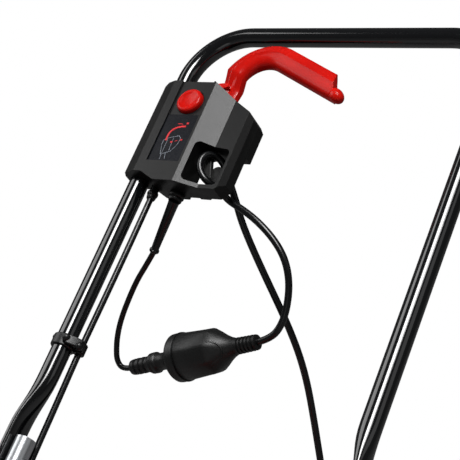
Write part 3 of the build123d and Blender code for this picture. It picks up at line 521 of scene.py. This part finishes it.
class MOWER_OT_handle(bpy.types.Operator):
    """Bent handle tube with its two pressed ends"""
    bl_idname = "mower.handle"
    bl_label = "Handle tube"

    def execute(self, context):
        bend = settings().bend_radius
        bm = bmesh.new()
        right = self.pressed_end(bm, 1)
        left = self.pressed_end(bm, -1)
        loop = self.push(bm, right, (0, -ROUND_TO_V - bend, 0))
        loop = self.turn(bm, loop, (bend, -bend, 0))
        loop = self.push(bm, loop, (LEG_SPACING - 2 * bend, 0, 0))
        loop = self.turn(bm, loop, (LEG_SPACING - bend, -bend, 0))
        bmesh.ops.bridge_loops(bm, edges=loop + left)
        finish_piece(bm, "handle_tube", "black_tube", replaces=("upper_handle",), place=HANDLE,
                     smooth_angle=50)
        return {"FINISHED"}

    def push(self, bm, loop, way):
        """Draw a ring of the tube out along a straight."""
        made = bmesh.ops.extrude_edge_only(bm, edges=loop)["geom"]
        moved = {g for g in made if isinstance(g, bmesh.types.BMVert)}
        bmesh.ops.translate(bm, verts=list(moved), vec=way)
        return [g for g in made if isinstance(g, bmesh.types.BMEdge) and set(g.verts) <= moved]

    def turn(self, bm, loop, centre):
        """Lead a ring of the tube round a corner."""
        verts = list({v for edge in loop for v in edge.verts})
        made = bmesh.ops.spin(bm, geom=verts + loop, cent=centre, axis=(0, 0, 1), angle=-pi / 2, steps=24)
        return [g for g in made["geom_last"] if isinstance(g, bmesh.types.BMEdge)]

    def ring(self, bm, side, v, flatness, width):
        """A section of the leg between round tube and a flat pressed tongue."""
        radius, facets = settings().tube_radius, settings().tube_facets
        axis_u = 0 if side > 0 else LEG_SPACING
        verts = []
        for number in range(facets):
            angle = 2 * pi * number / facets
            c, d = cos(angle), sin(angle)
            power = 1 - 0.62 * flatness
            flat_u = FLAT_MIDDLE_U + FLAT_HALF_THICK * abs(c) ** power * (1 if c > 0 else -1)
            flat_w = FLAT_HALF_WIDE * width * abs(d) ** 0.9 * (1 if d > 0 else -1)
            u = radius * c * (1 - flatness) + flat_u * flatness
            w = radius * d * (1 - flatness) + flat_w * flatness
            verts.append(bm.verts.new((axis_u + side * u, v, w)))
        return [bm.edges.new(pair) for pair in zip(verts, verts[1:] + verts[:1])]

    def pressed_end(self, bm, side):
        """The leg's lower end, pressed flat to sit against the lower tube; returns its upper ring."""
        top = loop = self.ring(bm, side, ROUND_TO_V, 0.0, 1.0)
        steps = [(-0.462, 0.02), (-0.470, 0.09), (-0.478, 0.22), (-0.486, 0.40), (-0.494, 0.60),
                 (-0.502, 0.78), (-0.509, 0.91), (-0.516, 0.98), (-0.523, 1.0), (-0.545, 1.0)]
        for v, flatness in steps:
            lower = self.ring(bm, side, v, flatness, 1.0)
            bmesh.ops.bridge_loops(bm, edges=loop + lower)
            loop = lower
        for share in (0.0, 0.35, 0.6, 0.8, 0.93, 0.99):
            width = max(0.14, (1 - share ** 2) ** 0.5)
            lower = self.ring(bm, side, FOLD_V - FLAT_HALF_WIDE * share, 1.0, width)
            bmesh.ops.bridge_loops(bm, edges=loop + lower)
            loop = lower
        bmesh.ops.contextual_create(bm, geom=loop)
        return top


# Generic picture on the label: name, line in the handle's frame, width in millimetres, print.
PRINT_W = 20.62
PICTURED_BOX = [
    (24, -170), (24, -163.5), (31, -160), (42, -157), (45, -160), (45, -168), (40, -178), (28, -183),
    (24, -170),
]
LABEL_PICTURE = (
    ("print_lever", [(27, -164), (26, -157), (28.5, -150), (34, -146), (40, -144.5), (45, -144)], 2.6,
     "print_red"),
    ("print_press_dot", [(44.6, -139.9), (47.4, -139.9)], 2.6, "print_red"),
    ("print_press_mark", [(33, -141), (38, -140.6), (40, -141.4)], 0.9, "print_red"),
    ("print_pivot_dot", [(34.0, -166), (36.8, -166)], 2.6, "print_red"),
    ("print_turn_dot", [(46, -162.6), (48.6, -162.6)], 2.2, "print_red"),
    ("print_turn_mark", [(39.5, -164.6), (42.5, -163.6)], 1.0, "print_red"),
    *((f"print_box_{number}", list(pair), 0.55, "print_grey")
      for number, pair in enumerate(zip(PICTURED_BOX, PICTURED_BOX[1:]))),
    ("print_leg_a", [(29, -183), (30, -190)], 0.55, "print_grey"),
    ("print_leg_b", [(34, -181), (36, -189)], 0.55, "print_grey"),
    ("print_panel_a", [(29, -163), (29, -181)], 0.45, "print_grey"),
    ("print_panel_b", [(36, -160), (37, -178)], 0.45, "print_grey"),
)
BUTTON_AT = (36, -110, 17.2)


class MOWER_OT_switch_box(bpy.types.Operator):
    """Switch box shells, label with its picture, hook, button and glands"""
    bl_idname = "mower.switch_box"
    bl_label = "Switch box"

    def execute(self, context):
        refined("switchbox_front", bevel_mm=0.9)
        refined("switchbox_rear", bevel_mm=0.7)
        refined("cord_hook", bevel_mm=0.8)
        self.finger()
        self.label()
        self.button()
        self.glands()
        return {"FINISHED"}

    def finger(self):
        """Upright finger over the hook, which the cord's loop is laid round."""
        outline = [(65, -157), (76, -157), (80, -172), (89, -196), (77, -197), (68, -186), (65, -172)]
        bm = plate([(u, v, -8.0) for u, v in outline], (0, 0, 6.5))
        finish_piece(bm, "cord_hook_finger", "black_plastic", body="handle", place=HANDLE, bevel_mm=1.0)

    def label(self):
        """Film panel with a generic picture: press, then swing the lever."""
        refined("label_panel", bevel_mm=0.1)
        for name, points, width, slot_material in LABEL_PICTURE:
            self.stroke(name, points, width, slot_material)

    def stroke(self, name, points, width, slot_material):
        """A flat printed line, a few hundredths of a millimetre thick."""
        piece = spline(name, [in_handle(u, v, PRINT_W) for u, v in points], 0.0)
        piece.data.bevel_depth = width * MM / 2
        piece.data.bevel_resolution = 1
        piece.data.splines[0].resolution_u = 4
        mesh = meshed(piece, name)
        flat = Matrix.Translation(in_handle(0, 0, PRINT_W)) @ HANDLE.to_3x3().to_4x4()
        mesh.transform(flat @ Matrix.Diagonal((1, 1, 0.08, 1)) @ flat.inverted())
        mesh.materials.clear()
        dress(mesh, name, "label_film", "handle", (), 0, material=slot_material)

    def button(self):
        """Low round lock button with a rolled rim and a shallow dish."""
        profile = [
            (0, 6.9), (4, 6.95), (8, 7.2), (10.2, 7.75), (11.4, 8.25), (12.6, 8.4), (13.8, 8.1), (14.8, 7.3),
            (15.5, 6.1), (15.8, 4.6), (15.8, 0.0), (13.0, -1.2), (12.0, 4.6), (3.4, 4.8), (3.4, -6.0),
            (0, -6.0),
        ]
        bm = lathe(profile, 72)
        place = HANDLE @ Matrix.Translation([part * MM for part in BUTTON_AT])
        finish_piece(bm, "button_cap", "red_abs", replaces=("lock_button",), place=place, smooth_angle=40)

    def glands(self):
        """Rubber grommet of the motor cable, and the long tapered sleeve of the mains lead."""
        rings = [
            (3.55, -26), (6.2, -26), (6.2, -22), (4.9, -21), (4.9, -10), (6.0, -9), (6.4, -7), (6.0, -5),
            (5.2, -4.4), (5.4, -3), (5.2, -1.6), (4.6, 0), (3.55, 0.2), (3.55, -26),
        ]
        place = along(in_handle(19.5, -226, -6), in_handle(19.5, -240, -6))
        finish_piece(lathe(rings, 40), "motor_cable_grommet_finished", "rubber_black",
                     replaces=("motor_cable_grommet",), place=place)

        collar = [
            (0, -26), (8.8, -26), (8.8, -22), (6.4, -21), (6.4, -9.4), (8.2, -8.6), (9.0, -7.4), (9.0, -5.2),
            (8.2, -4.0), (7.2, -3.6), (7.8, -2.4), (7.8, -1.2), (6.9, 0.4), (0, 0.6),
        ]
        place = along(in_handle(52, -226, -6), in_handle(52, -240, -6))
        finish_piece(lathe(collar, 48), "bend_sleeve_collar", "plug_pvc", body="handle", place=place)
        mouth, tip = in_handle(52, -225.5, -6), Vector(LEAD_ROUTE[0]) * MM
        length = (tip - mouth).length / MM
        taper = [
            (3.27, 0), (6.3, 0), (5.9, 8), (5.2, length * 0.5), (4.4, length - 5), (4.6, length - 4.2),
            (5.5, length - 3.4), (5.6, length - 1.2), (4.9, length - 0.2), (3.27, length), (3.27, 0),
        ]
        finish_piece(lathe(taper, 48), "bend_sleeve_finished", "plug_pvc", replaces=("bend_sleeve",),
                     place=along(mouth, tip), material="cable_pvc")


# ---------------------------------------------------------------- lever
LEVER_PIVOT = (75, -115, 0)
LEVER_CENTRE = (108, -75, 0)    # middle of its bend, in the handle's frame
LEVER_BEND = 43                 # radius of the fold line there
LEVER_FOOT = radians(158)       # the bend runs from here round to the straight
LEVER_SLOPE = radians(-26)
# across, from the fold towards the fingers, and height above the handle's plane
LEVER_SECTION = [
    (-11.8, 8.4), (-11.9, 9.6), (-11.2, 10.4), (-6, 12.9), (-1.6, 15.0), (-0.6, 15.6), (0.4, 15.6),
    (1.4, 15.1), (5.0, 14.6), (9.0, 13.7), (12.6, 11.8), (14.9, 9.0), (16.2, 5.4), (16.4, 2.0),
    (15.6, 1.2), (14.6, 2.0), (13.6, 5.6), (11.4, 9.4), (7.0, 11.8), (1.0, 12.8), (-5.4, 10.6),
]
OUTER_POINTS = 14               # the section's points on its outer side
LEVER_EDGE, LEVER_WIDE = -11.8, 29
END_THICK = 2.4
NECK_LONG, NECK_SINK, PLEAT_HIGH = 27, 7.5, 1.1
HUB_LOW = -4.0
LOBE_AT = (208.6, -86.0, 6.6)
LOBE_RADII = (11.0, 7.6, 8.2)


class MOWER_OT_lever(bpy.types.Operator):
    """Red start lever: a curved channel with a hub and a rounded end"""
    bl_idname = "mower.lever"
    bl_label = "Start lever"

    top_length: FloatProperty(
        name="Top edge", description="Straight part of the top edge, in millimetres", default=75)
    slant: FloatProperty(
        name="Slant", description="How much longer the lower edge is, in millimetres", default=21.6)

    def execute(self, context):
        self.blade()
        self.end_lobe()
        self.neck()
        return {"FINISHED"}

    def blade(self):
        """The channel that fingers pull: a folded section led round its bend and on along a straight."""
        centre = Vector(LEVER_CENTRE) * MM
        bend = LEVER_BEND * MM
        bm = bmesh.new()
        out = Vector((cos(LEVER_FOOT), sin(LEVER_FOOT), 0))
        down = Vector((-0.17, -0.985, 0)).normalized()

        def ring(root):
            """The section at the foot of the bend; further down it sinks into the box and gets pleats."""
            verts = []
            for n, w in LEVER_SECTION:
                depth = w - NECK_SINK * min(1.0, root / 0.6)
                if w > 6:
                    depth += PLEAT_HIGH * min(1.0, root * 3) * cos(n * 0.8)
                away = out * (bend - n * MM) + down * (NECK_LONG * MM * root)
                verts.append(bm.verts.new(centre + away + Vector((0, 0, max(depth, HUB_LOW) * MM))))
            return [bm.edges.new(pair) for pair in zip(verts, verts[1:] + verts[:1])]

        first = ring(0.0)
        loop = first
        for step in range(1, 11):
            lower = ring(step / 10)
            bmesh.ops.bridge_loops(bm, edges=loop + lower)
            loop = lower
        bmesh.ops.contextual_create(bm, geom=loop)
        verts = list({v for edge in first for v in edge.verts})
        turned = bmesh.ops.spin(bm, geom=verts + first, cent=centre, axis=(0, 0, 1),
                                angle=pi / 2 + LEVER_SLOPE - LEVER_FOOT, steps=30)["geom_last"]
        last = [g for g in turned if isinstance(g, bmesh.types.BMEdge)]
        direction = Vector((cos(LEVER_SLOPE), sin(LEVER_SLOPE), 0))
        across = Vector((sin(LEVER_SLOPE), -cos(LEVER_SLOPE), 0))
        end = centre - across * bend
        for share in (0.08, 0.4, 0.75, 0.95, 1.0):
            made = bmesh.ops.extrude_edge_only(bm, edges=last)["geom"]
            moved = {g for g in made if isinstance(g, bmesh.types.BMVert)}
            for vert in moved:
                n = (vert.co - end).dot(across) / MM
                length = self.length_at(n) * share
                vert.co = vert.co - direction * (vert.co - end).dot(direction) + direction * length * MM
            last = [g for g in made if isinstance(g, bmesh.types.BMEdge) and set(g.verts) <= moved]
        bmesh.ops.contextual_create(bm, geom=last)
        finish_piece(bm, "start_lever_blade", "red_abs", replaces=("start_lever",), place=HANDLE,
                     smooth_angle=26)
        # closed end of the channel, a little proud of it
        bm = bmesh.new()
        outline = [(n * 1.02, w + 0.3) for n, w in LEVER_SECTION[:OUTER_POINTS]]
        outline += [(14.0, 0.6), (4.0, 2.4), (-6.0, 6.0)]
        verts = []
        for n, w in outline:
            far = direction * self.length_at(n) * MM
            verts.append(bm.verts.new(end + across * n * MM + far + Vector((0, 0, w * MM))))
        raise_faces(bm, [bm.faces.new(verts)], direction * END_THICK * MM)
        finish_piece(bm, "start_lever_end", "red_abs", body="lever", place=HANDLE, bevel_mm=0.9)

    def length_at(self, n):
        """Length of the straight part, which grows across the slanted end."""
        return self.top_length + self.slant * (n - LEVER_EDGE) / LEVER_WIDE

    def end_lobe(self):
        """Rounded lobe at the lever's tip, which keeps fingers from slipping off."""
        bm = bmesh.new()
        bmesh.ops.create_uvsphere(bm, u_segments=36, v_segments=24, radius=1.0)
        place = Matrix.Translation(Vector(LOBE_AT) * MM) @ Matrix.Rotation(radians(-40), 4, "Z")
        size = Matrix.Diagonal([part * MM for part in LOBE_RADII] + [1])
        bmesh.ops.transform(bm, matrix=place @ size, verts=bm.verts)
        finish_piece(bm, "start_lever_lobe", "red_abs", body="lever", place=HANDLE, smooth_angle=0)

    def neck(self):
        """Hub on the pivot inside the box, and a small lip that lies over the gap in its top edge."""
        hub = [(3.1, -4), (12.6, -4), (13, -3.4), (13, 6.2), (12.4, 7), (3.1, 7), (3.1, -4)]
        pivot = Matrix.Translation([part * MM for part in LEVER_PIVOT])
        finish_piece(lathe(hub, 48), "start_lever_hub", "red_abs", body="lever", place=HANDLE @ pivot)
        web = [(64, -106), (60, -92), (62, -84), (80, -92), (84, -106)]
        bm = plate([(u, v, HUB_LOW) for u, v in web], (0, 0, 10.4))
        finish_piece(bm, "start_lever_web", "red_abs", body="lever", place=HANDLE, bevel_mm=1.2)
        lip = [(45, -79.6), (50, -77.0), (60, -75.6), (68, -75.0), (72, -80.0), (62, -84.6), (52, -83.0)]
        bm = plate([(u, v, 9.0) for u, v in lip], (0, 0, 3.2))
        finish_piece(bm, "start_lever_lip", "red_abs", body="lever", place=HANDLE, bevel_mm=1.2)


# ---------------------------------------------------------------- coupling
# Profiles in millimetres: radius, and distance from the lead's end of the plug.
PLUG_TAIL = [(3.2, 0.0), (6.8, 0.0), (8.4, 1.0), (8.8, 2.5)]
PLUG_FLANGE = [
    (9.4, 27.2), (10.2, 28.4), (11.6, 29.6), (12.0, 31.2), (11.2, 32.6), (11.2, 33.4), (12.1, 34.6),
    (12.0, 37.2), (10.6, 38.4), (10.0, 41), (9.8, 46), (10.4, 50), (12.6, 54), (16.0, 58), (19.6, 61),
    (21.6, 63), (21.9, 64.0), (3.2, 64.0), (3.2, 0.0),
]
COUPLER_BODY = [
    (3.9, 64.2), (24.0, 64.2), (25.0, 65.0), (26.2, 65.8), (27.2, 67.2), (27.4, 69.0), (27.4, 74.8),
    (26.2, 75.4), (26.2, 76.8), (26.8, 77.6), (26.2, 116.0), (25.0, 119.5), (21.0, 126.0),
    (15.5, 134.0), (11.6, 141.0), (9.4, 147.0),
]
COUPLER_TAIL = [(8.8, 172.4), (8.4, 174.4), (6.4, 175.0), (3.9, 175.0), (3.9, 64.2)]
GASKET = [(26.0, 74.6), (27.7, 74.9), (27.9, 76.1), (27.7, 77.3), (26.0, 77.6), (26.0, 74.6)]
# angle from the face that fingers hold, radius, distance
ARCH = [
    (-34, 22.4, 121.0), (-32, 17.2, 130.5), (-16, 14.6, 135.2), (0, 14.0, 136.2), (16, 14.6, 135.2),
    (32, 17.2, 130.5), (34, 22.4, 121.0),
]
FACES_FROM, FACES_TO = 0.0775, 0.128    # the part of the connector that has eight sides
FLATNESS = 0.935                        # distance of a face's middle over that of its corner


class MOWER_OT_coupling(bpy.types.Operator):
    """Mains lead plug pushed into the extension cord's connector, and the plug at the far end"""
    bl_idname = "mower.coupling"
    bl_label = "Coupling"

    def execute(self, context):
        start = Vector(LEAD_ROUTE[-1]) * MM
        end = Vector(EXTENSION_ROUTE[0]) * MM
        place = along(start, end)
        plug = list(PLUG_TAIL)
        for groove in range(3):
            z = 6.5 + groove * 7.0
            plug += [(9.2, z), (7.6, z + 0.9), (7.6, z + 2.9), (9.4, z + 3.8)]
        finish_piece(lathe(plug + PLUG_FLANGE, 56), "appliance_plug_finished", "plug_pvc",
                     replaces=("appliance_plug",), place=place, smooth_angle=45)
        body = list(COUPLER_BODY)
        for rib in range(5):
            z, thinner = 148.6 + rib * 4.6, rib * 0.1
            body += [(9.2 - thinner, z), (9.4 - thinner, z + 2.2), (7.8 - thinner, z + 2.8),
                     (7.8 - thinner, z + 4.0)]
        bm = lathe(body + COUPLER_TAIL, 64)
        for vert in bm.verts:
            self.eight_sided(vert)
        finish_piece(bm, "extension_coupler_finished", "plug_pvc", replaces=("extension_coupler",),
                     place=place, smooth_angle=45)
        self.grip_pads(place)
        refined("mains_plug", bevel_mm=1.2)
        return {"FINISHED"}

    def eight_sided(self, vert):
        """Flatten the connector's body into eight faces with soft corners."""
        x, y, z = vert.co
        radius = (x * x + y * y) ** 0.5
        if not FACES_FROM < z < FACES_TO or radius < 0.012:
            return
        off = (atan2(y, x) + pi / 8) % (pi / 4) - pi / 8
        share = min(1.0, (z - FACES_FROM) / 0.002, (FACES_TO - z) / 0.012)
        flat = min(1.0, FLATNESS / cos(off))
        vert.co.x *= 1 + (flat - 1) * share
        vert.co.y *= 1 + (flat - 1) * share

    def grip_pads(self, place):
        """Raised frames on four of the connector's faces, a dark gasket and an arched rib."""
        corners = [(-7.6, 83.0), (7.6, 83.0), (7.6, 113.0), (-7.6, 113.0)]
        for number in range(4):
            bm = bmesh.new()
            face = bm.faces.new([bm.verts.new((24.3 * MM, x * MM, z * MM)) for x, z in corners])
            rim = bmesh.ops.inset_region(bm, faces=[face], thickness=2.0 * MM)["faces"]
            raise_faces(bm, rim, (1.7 * MM, 0, 0))
            turn = Matrix.Rotation(radians(90 * number), 4, "Z")
            bmesh.ops.transform(bm, matrix=turn, verts=bm.verts)
            finish_piece(bm, f"coupler_grip_{number}", "plug_pvc", body="handle", place=place,
                         smooth_angle=30, bevel_mm=0.4)
        finish_piece(lathe(GASKET, 64), "coupler_gasket", "rubber_black", body="handle", place=place)
        arch = [place @ (Matrix.Rotation(radians(180 + side), 4, "Z") @ Vector((r * MM, 0, z * MM)))
                for side, r, z in ARCH]
        mesh = meshed(spline("coupler_arch", arch, 0.0013), "coupler_arch")
        mesh.materials.clear()
        dress(mesh, "coupler_arch", "plug_pvc", "handle", (), 0)


# ---------------------------------------------------------------- the rest of the mower
CLIP_V, CLIP_HALF = -417, 6.5


class MOWER_OT_clips_and_joints(bpy.types.Operator):
    """Cable clip, fold bolts, star knobs and lower tubes"""
    bl_idname = "mower.clips_and_joints"
    bl_label = "Clips and joints"

    def execute(self, context):
        self.strap()
        for side in ("left", "right"):
            refined(f"star_knob_{side}", bevel_mm=1.0)
            refined(f"lower_tube_{side}", bevel_mm=0.3)
        refined("pivot_bolts", bevel_mm=0.5)
        refined("tube_screws", bevel_mm=0.4)
        return {"FINISHED"}

    def strap(self):
        """Rubber strap round the leg and the motor cable, buttoned with two knobs."""
        at, half = CLIP_V, CLIP_HALF
        for name, u, w, inner, outer, replaced in (("cable_clip_strap", 0, 0, 11.1, 13.6, ("cable_clip",)),
                                                   ("cable_clip_loop", 15.5, -10, 3.6, 6.2, ())):
            rings = [(inner, -half), (outer - 0.7, -half), (outer, -half + 0.9), (outer, half - 0.9),
                     (outer - 0.7, half), (inner, half), (inner, -half)]
            place = along(in_handle(u, at, w), in_handle(u, at + 20, w))
            finish_piece(lathe(rings, 40), name, "rubber_black", body=None if replaced else "handle",
                         replaces=replaced, place=place)
        knobs = ((10.7, -416, 13.0, 4.6), (24.0, -420, 4.0, 4.6), (-14.6, -411, 0.0, 3.6))
        for number, (u, v, w, size) in enumerate(knobs):
            bm = bmesh.new()
            bmesh.ops.create_uvsphere(bm, u_segments=24, v_segments=16, radius=size * MM)
            bmesh.ops.translate(bm, verts=bm.verts, vec=(u * MM, v * MM, w * MM))
            finish_piece(bm, f"cable_clip_knob_{number}", "rubber_black", body="handle", place=HANDLE,
                         smooth_angle=0)
        band = [(9.0, 11.0), (12.5, 14.0), (20.0, 9.5), (26.0, 4.0), (25.0, -4.0), (20.5, -10.0),
                (16.0, -5.0), (19.0, 2.0), (14.0, 7.5)]
        bm = plate([(u, at - 5, w) for u, w in band], (0, 10, 0))
        finish_piece(bm, "cable_clip_band", "rubber_black", body="handle", place=HANDLE, bevel_mm=1.2)


class MOWER_OT_deck(bpy.types.Operator):
    """Deck, motor cover, flap and grass box"""
    bl_idname = "mower.deck"
    bl_label = "Deck and covers"

    def execute(self, context):
        refined("deck", material="deck_red", bevel_mm=1.2)
        refined("motor_cover", bevel_mm=0.8)
        refined("rear_flap", bevel_mm=0.7)
        refined("grass_box_shell", bevel_mm=1.2)
        refined("grass_box_lid", material="deck_red", bevel_mm=1.0)
        refined("grass_box_handle", bevel_mm=0.8)
        return {"FINISHED"}


class MOWER_OT_running_gear(bpy.types.Operator):
    """Wheels, hub caps, axles, motor and blade"""
    bl_idname = "mower.running_gear"
    bl_label = "Running gear"

    def execute(self, context):
        for end in ("front", "rear"):
            for side in ("left", "right"):
                refined(f"{end}_wheel_{side}", bevel_mm=1.0)
                refined(f"{end}_hub_cap_{side}", bevel_mm=0.4)
        replaced = {name for piece in bpy.data.objects for name in piece.get("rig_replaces", [])}
        for node, piece in frame["nodes"].items():
            if node in replaced:
                continue
            piece.data.materials.clear()
            piece.data.materials.append(MATERIALS[SLOT_OF[node]])
        return {"FINISHED"}


# ---------------------------------------------------------------- stage
CAMERA_FROM_BAR = (0.83241, -1.49563, 0.00194)
CAMERA_DOWN, CAMERA_TURN = radians(7.209), radians(33.514)
CAMERA_LENS = 119.92
FLOOR_SEEN, FLOOR_BOUNCE = 0.84, 0.22    # how pale the floor is to the eye, and to other light
STUDIO_GLOW = 0.055
WHITE_FROM, WHITE_TO = 1.0, 2.0          # the floor runs out into white between these distances
# name, direction from the crossbar's middle, distance, width, height, brightness
LIGHTS = (
    ("overhead_strip", (0.16, -0.42, 0.90), 2.0, 0.66, 1.3, 13.0),
    ("left_softbox", (-0.82, -0.34, 0.46), 2.4, 1.4, 1.9, 2.2),
    ("right_softbox", (0.90, -0.10, 0.42), 2.6, 1.0, 1.6, 0.45),
    ("low_front_card", (0.25, -0.95, -0.20), 2.6, 1.2, 0.8, 0.4),
)


class MOWER_OT_stage(bpy.types.Operator):
    """Floor, soft light and the camera"""
    bl_idname = "mower.stage"
    bl_label = "Stage"

    def floor_paint(self):
        """Pale matt floor under the mower, which runs out into plain white far behind it."""
        paint, tree, shader, place = surface("pale studio floor", "ececea", 0.9)
        grain(tree, shader, place, 30.0, 0.05)
        reach = add(tree, "ShaderNodeVectorMath", {0: (place, "Object")}, operation="LENGTH")
        far = add(tree, "ShaderNodeMapRange", {
            "Value": (reach, "Value"), "From Min": WHITE_FROM, "From Max": WHITE_TO},
            interpolation_type="SMOOTHSTEP")
        ray = add(tree, "ShaderNodeLightPath")
        pale = add(tree, "ShaderNodeMapRange", {
            "Value": (ray, "Is Camera Ray"), "To Min": FLOOR_BOUNCE, "To Max": FLOOR_SEEN})
        tree.links.new(pale.outputs[0], shader.inputs["Base Color"])
        share = add(tree, "ShaderNodeMath", {0: (far, 0), 1: (ray, "Is Camera Ray")}, operation="MULTIPLY")
        white = add(tree, "ShaderNodeEmission", {"Color": (1, 1, 1, 1), "Strength": 1.0})
        blend = add(tree, "ShaderNodeMixShader", {0: (share, 0), 1: (shader, 0), 2: (white, 0)})
        output = next(node for node in tree.nodes if node.type == "OUTPUT_MATERIAL")
        tree.links.new(blend.outputs[0], output.inputs["Surface"])
        return paint

    def sky(self, scene):
        """White backdrop to look at, and a dark studio for gloss to reflect."""
        world = bpy.data.worlds.new("studio")
        world.use_nodes = True
        tree = world.node_tree
        tree.nodes.clear()
        ray = add(tree, "ShaderNodeLightPath")
        level = add(tree, "ShaderNodeMapRange", {
            "Value": (ray, "Is Camera Ray"), "To Min": STUDIO_GLOW, "To Max": 1.0})
        glow = add(tree, "ShaderNodeBackground", {"Color": (1, 1, 1, 1), "Strength": (level, 0)})
        add(tree, "ShaderNodeOutputWorld", {"Surface": (glow, 0)})
        scene.world = world

    def execute(self, context):
        scene = context.scene
        middle = Vector((0, BAR[1], BAR[2]))
        bm = bmesh.new()
        bmesh.ops.create_grid(bm, x_segments=1, y_segments=1, size=60)
        mesh = bpy.data.meshes.new("studio_floor")
        bm.to_mesh(mesh)
        bm.free()
        floor = bpy.data.objects.new("studio_floor", mesh)
        scene.collection.objects.link(floor)
        mesh.materials.append(self.floor_paint())
        self.sky(scene)
        scene.view_settings.view_transform = "Standard"

        camera_data = bpy.data.cameras.new("camera")
        camera_data.sensor_width = 36
        camera_data.lens = CAMERA_LENS
        camera_data.clip_end = 200
        camera = bpy.data.objects.new("camera", camera_data)
        camera.location = middle + Vector(CAMERA_FROM_BAR)
        camera.rotation_euler = (pi / 2 - CAMERA_DOWN, 0, CAMERA_TURN)
        scene.collection.objects.link(camera)
        scene.camera = camera

        for name, way, distance, width, height, brightness in LIGHTS:
            light_data = bpy.data.lights.new(name, "AREA")
            light_data.shape = "RECTANGLE"
            light_data.size, light_data.size_y = width, height
            light_data.energy = brightness * pi * width * height
            light = bpy.data.objects.new(name, light_data)
            light.location = middle + Vector(way).normalized() * distance
            aim = middle - light.location
            light.rotation_euler = aim.to_track_quat("-Z", "Y").to_euler()
            scene.collection.objects.link(light)
        sun_data = bpy.data.lights.new("soft_sun", "SUN")
        sun_data.energy = 1.1
        sun_data.angle = radians(25)
        sun = bpy.data.objects.new("soft_sun", sun_data)
        sun.rotation_euler = (radians(22), radians(14), 0)
        scene.collection.objects.link(sun)
        return {"FINISHED"}


class MOWER_PT_panel(bpy.types.Panel):
    """Lists the mower's pieces"""
    bl_idname = "MOWER_PT_panel"
    bl_label = "Lawn mower"
    bl_space_type = "VIEW_3D"
    bl_region_type = "UI"
    bl_category = "Mower"

    def draw(self, context):
        for name in MowerSettings.__annotations__:
            self.layout.prop(context.scene.mower, name)
        for operator in OPERATORS:
            self.layout.operator(operator.bl_idname)


OPERATORS = (
    MOWER_OT_stage, MOWER_OT_handle, MOWER_OT_switch_box, MOWER_OT_lever, MOWER_OT_coupling,
    MOWER_OT_cords, MOWER_OT_clips_and_joints, MOWER_OT_deck, MOWER_OT_running_gear,
)
CLASSES = (MowerSettings, *OPERATORS, MOWER_PT_panel)


def register():
    for item in CLASSES:
        bpy.utils.register_class(item)
    bpy.types.Scene.mower = PointerProperty(type=MowerSettings)


def unregister():
    del bpy.types.Scene.mower
    for item in reversed(CLASSES):
        bpy.utils.unregister_class(item)


def main():
    register()
    MATERIALS.update(make_materials())
    for operator in OPERATORS:
        group, name = operator.bl_idname.split(".")
        getattr(getattr(bpy.ops, group), name)()


if __name__ == "__main__":
    main()
